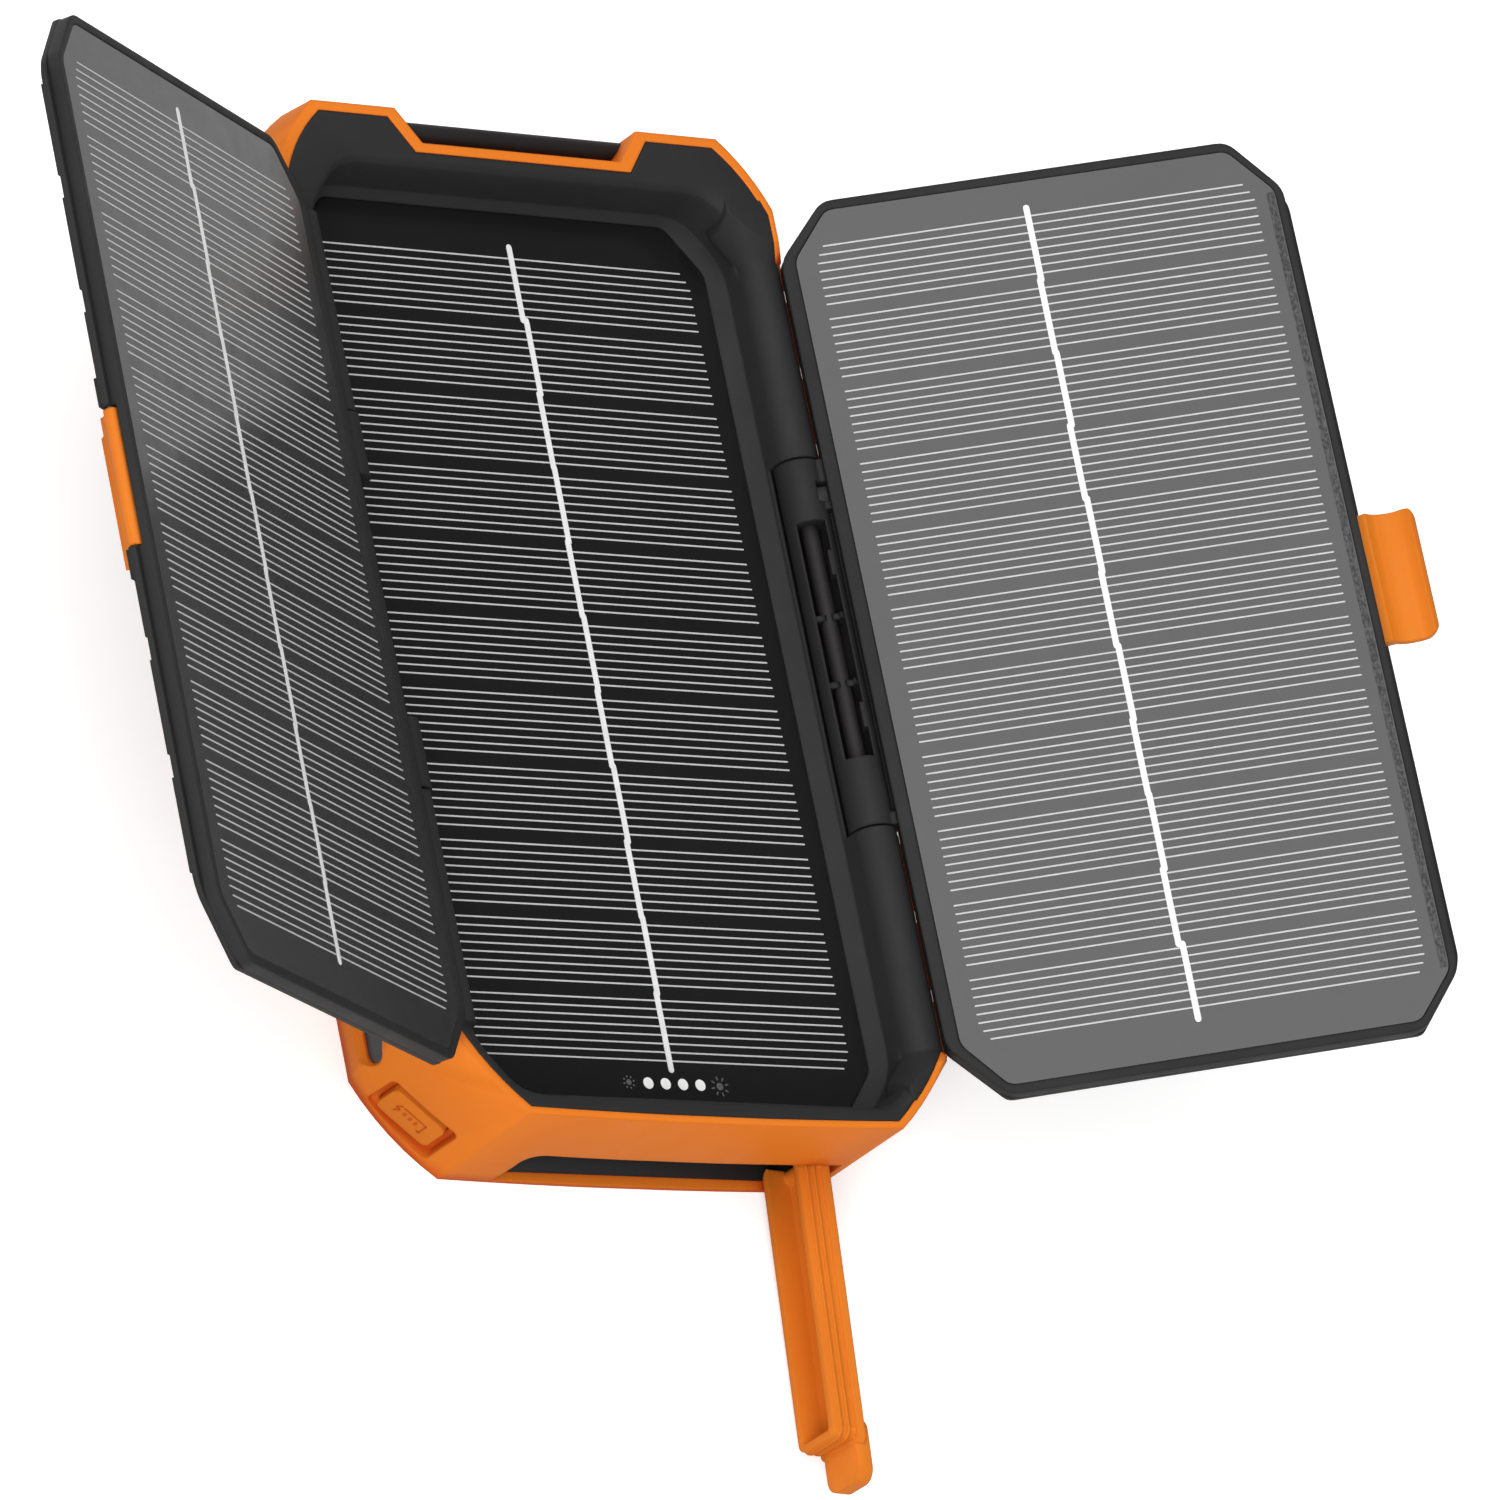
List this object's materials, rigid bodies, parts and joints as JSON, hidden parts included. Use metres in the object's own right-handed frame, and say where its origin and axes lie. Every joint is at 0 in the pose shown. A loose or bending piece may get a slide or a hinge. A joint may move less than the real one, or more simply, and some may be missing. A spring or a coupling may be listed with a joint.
{
  "type": "folding solar power bank",
  "caption": "Rugged solar power bank with a rubber-bumper case, a panel in the front, folding solar wings held by latch clips, a port flap, a flashlight and a power button.",
  "frame": {"origin": "centre of the flat back face of the case, on the plane it rests on", "axes": "+X towards the right wing, +Y towards the lanyard bar end, +Z out of the front panel; the rest pose has both wings open and raised 30 degrees"},
  "size_m": [0.2455, 0.22, 0.0693],
  "materials": {
    "orange_shell": "satin",
    "orange_plastic": "satin",
    "orange_rubber": "matte",
    "black_plastic": "fine grain",
    "seal_rubber": "matte",
    "steel": "satin",
    "panel_backing": "satin",
    "solar_cell": "satin",
    "panel_glaze": "gloss",
    "battery_pouch": "satin",
    "foam": "matte",
    "circuit_board": "satin",
    "white_light": "gloss",
    "clear_lens": "clear",
    "reflector": "mirror",
    "bar_coating": "satin"
  },
  "bodies": {
    "case": {"bumper": "orange_shell", "front_tray": "black_plastic", "rear_cover": "black_plastic", "case_gasket": "seal_rubber", "case_screws": "steel", "center_panel_board": "panel_backing", "center_panel_cells": "solar_cell", "center_panel_sheet": "panel_glaze", "battery_cells": "battery_pouch", "battery_foam": "foam", "main_board": "circuit_board", "board_screws": "steel", "battery_leads": "seal_rubber", "port_panel": "black_plastic", "usb_a_sockets": "steel", "usb_c_socket": "steel", "status_leds": "white_light", "status_light_pipe": "white_light", "flashlight_lens": "clear_lens", "flashlight_reflector": "reflector", "flashlight_led": "white_light", "button_switch": "steel", "lanyard_bar": "bar_coating", "right_hinge_pin": "bar_coating", "left_hinge_pins": "bar_coating", "flap_pin": "steel"},
    "right_wing": {"right_wing_frame": "black_plastic", "right_wing_back": "black_plastic", "right_wing_board": "panel_backing", "right_wing_cells": "solar_cell", "right_wing_sheet": "panel_glaze", "right_wing_screws": "steel", "right_wing_lead": "seal_rubber", "right_clip_pin": "steel"},
    "left_wing": {"left_wing_frame": "black_plastic", "left_wing_back": "black_plastic", "left_wing_board": "panel_backing", "left_wing_cells": "solar_cell", "left_wing_sheet": "panel_glaze", "left_wing_screws": "steel", "left_wing_lead": "seal_rubber", "left_clip_pin": "steel"},
    "right_clip": {"right_clip": "orange_plastic"},
    "left_clip": {"left_clip": "orange_plastic"},
    "power_button": {"power_button": "orange_plastic"},
    "port_flap": {"port_flap": "orange_rubber"}
  },
  "joints": [
    {"name": "right_wing_hinge", "type": "hinge", "parent": "case", "child": "right_wing", "pos_m": [0.0459, 0, 0.02], "axis": [0, -1, 0], "range_deg": [-10, 150]},
    {"name": "left_wing_hinge", "type": "hinge", "parent": "case", "child": "left_wing", "pos_m": [-0.044, 0, 0.0244], "axis": [0, 1, 0], "range_deg": [-10, 150]},
    {"name": "right_clip_hinge", "type": "hinge", "parent": "right_wing", "child": "right_clip", "pos_m": [0.11894, 0, 0.06229], "axis": [0, -1, 0], "range_deg": [-155, 0]},
    {"name": "left_clip_hinge", "type": "hinge", "parent": "left_wing", "child": "left_clip", "pos_m": [-0.11635, 0, 0.06629], "axis": [0, 1, 0], "range_deg": [0, 155]},
    {"name": "port_flap_hinge", "type": "hinge", "parent": "case", "child": "port_flap", "pos_m": [0.0297, -0.0808, 0.0063], "axis": [0, 0, -1], "range_deg": [-28, 85.4]},
    {"name": "power_button_press", "type": "slide", "parent": "case", "child": "power_button", "axis": [0.6652, 0.7466, 0], "range_m": [0, 0.0006], "stiffness_N_per_m": 1500}
  ]
}
